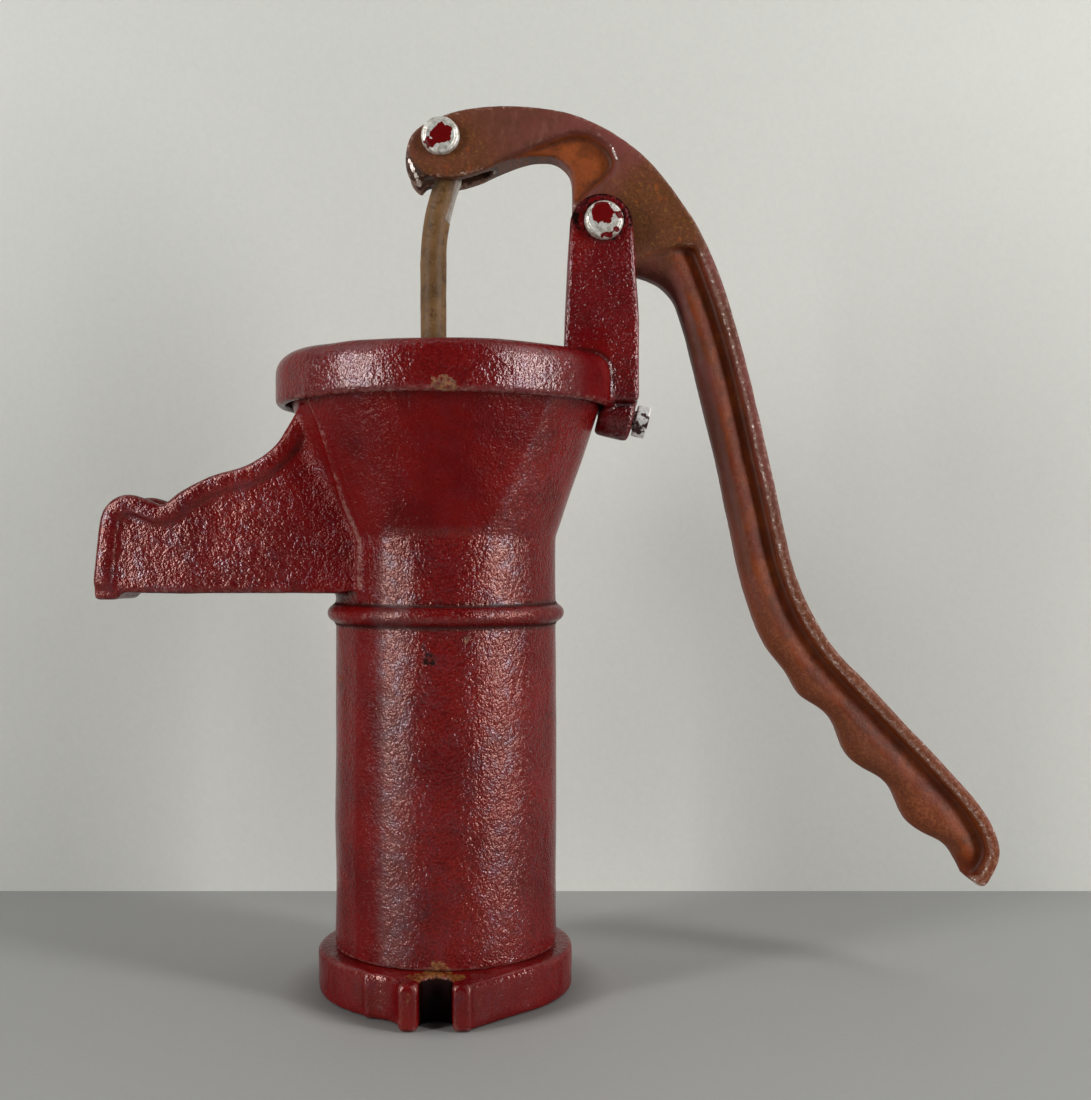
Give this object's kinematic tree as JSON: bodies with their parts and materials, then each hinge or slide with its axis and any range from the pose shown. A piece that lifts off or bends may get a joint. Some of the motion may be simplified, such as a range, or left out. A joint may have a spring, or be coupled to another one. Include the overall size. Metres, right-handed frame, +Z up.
{
  "type": "hand pitcher pump",
  "caption": "Cast-iron hand suction pump: barrel with open spout on a slotted base, turning cap, lever handle, and a plunger with check valves.",
  "frame": {"origin": "on the barrel axis at the underside of the base", "axes": "+Z up along the barrel, -X along the spout, +X towards the handle's side at rest, -Y is the side of the pin heads"},
  "size_m": [0.3731, 0.141, 0.3649],
  "materials": {
    "red_enamel": "glossy dark red enamel over a pebbled casting, chipped and rusty at edges",
    "bare_iron": "bare cast iron, water-stained",
    "rusty_iron": "rusty brown casting with orange rust in its hollows and bright worn edges",
    "rod_steel": "olive-brown rusted round bar",
    "pin_steel": "bright steel with remains of red paint",
    "leather": "oiled valve leather",
    "brass": "dull brass"
  },
  "bodies": {
    "pump_body": {"base": "red_enamel", "barrel": "red_enamel", "valve_leather": "leather"},
    "flap_valve": {"valve_flap": "leather", "valve_weight": "bare_iron", "valve_washer": "brass", "valve_screw": "brass"},
    "cap": {"cap": "red_enamel", "fulcrum_pin": "pin_steel", "fulcrum_washer": "pin_steel", "fulcrum_cotter": "pin_steel"},
    "set_screw": {"set_screw": "pin_steel"},
    "handle": {"handle": "rusty_iron", "rod_pin": "pin_steel", "rod_pin_washer": "pin_steel", "rod_pin_cotter": "pin_steel"},
    "rod": {"plunger_rod": "rod_steel", "rod_upper_nut": "rod_steel", "rod_lower_nut": "rod_steel", "rod_washers": "rod_steel"},
    "plunger": {"plunger_cage": "bare_iron", "cup_leather": "leather", "plunger_follower": "bare_iron"},
    "poppet": {"poppet_valve": "brass"}
  },
  "joints": [
    {"name": "cap_turn", "type": "hinge", "parent": "pump_body", "child": "cap", "pos_m": [0, 0, 0.2535], "axis": [0, 0, 1], "range_deg": [-135, 135]},
    {"name": "set_screw_back_off", "type": "slide", "parent": "cap", "child": "set_screw", "axis": [0.9703, 0, -0.2419], "range_m": [0, 0.004]},
    {"name": "handle_lift", "type": "hinge", "parent": "cap", "child": "handle", "pos_m": [0.0653, 0, 0.3155], "axis": [0, -1, 0], "range_deg": [-6, 55]},
    {"name": "rod_swing", "type": "hinge", "parent": "handle", "child": "rod", "pos_m": [-0.0016, 0, 0.3519], "axis": [0, -1, 0], "range_deg": [-56, 7]},
    {"name": "plunger_stroke", "type": "slide", "parent": "cap", "child": "plunger", "axis": [0, 0, 1], "range_m": [-0.072, 0.009]},
    {"name": "poppet_lift", "type": "slide", "parent": "plunger", "child": "poppet", "axis": [0, 0, 1], "range_m": [0, 0.007]},
    {"name": "flap_lift", "type": "hinge", "parent": "pump_body", "child": "flap_valve", "pos_m": [0.0299, 0, 0.0345], "axis": [0, 1, 0], "range_deg": [0, 20]}
  ],
  "couplings": [
    {"joint": "rod_swing", "follows": "handle_lift", "ratio": -1},
    {"joint": "plunger_stroke", "follows": "handle_lift", "m_per_rad": -0.0729}
  ]
}
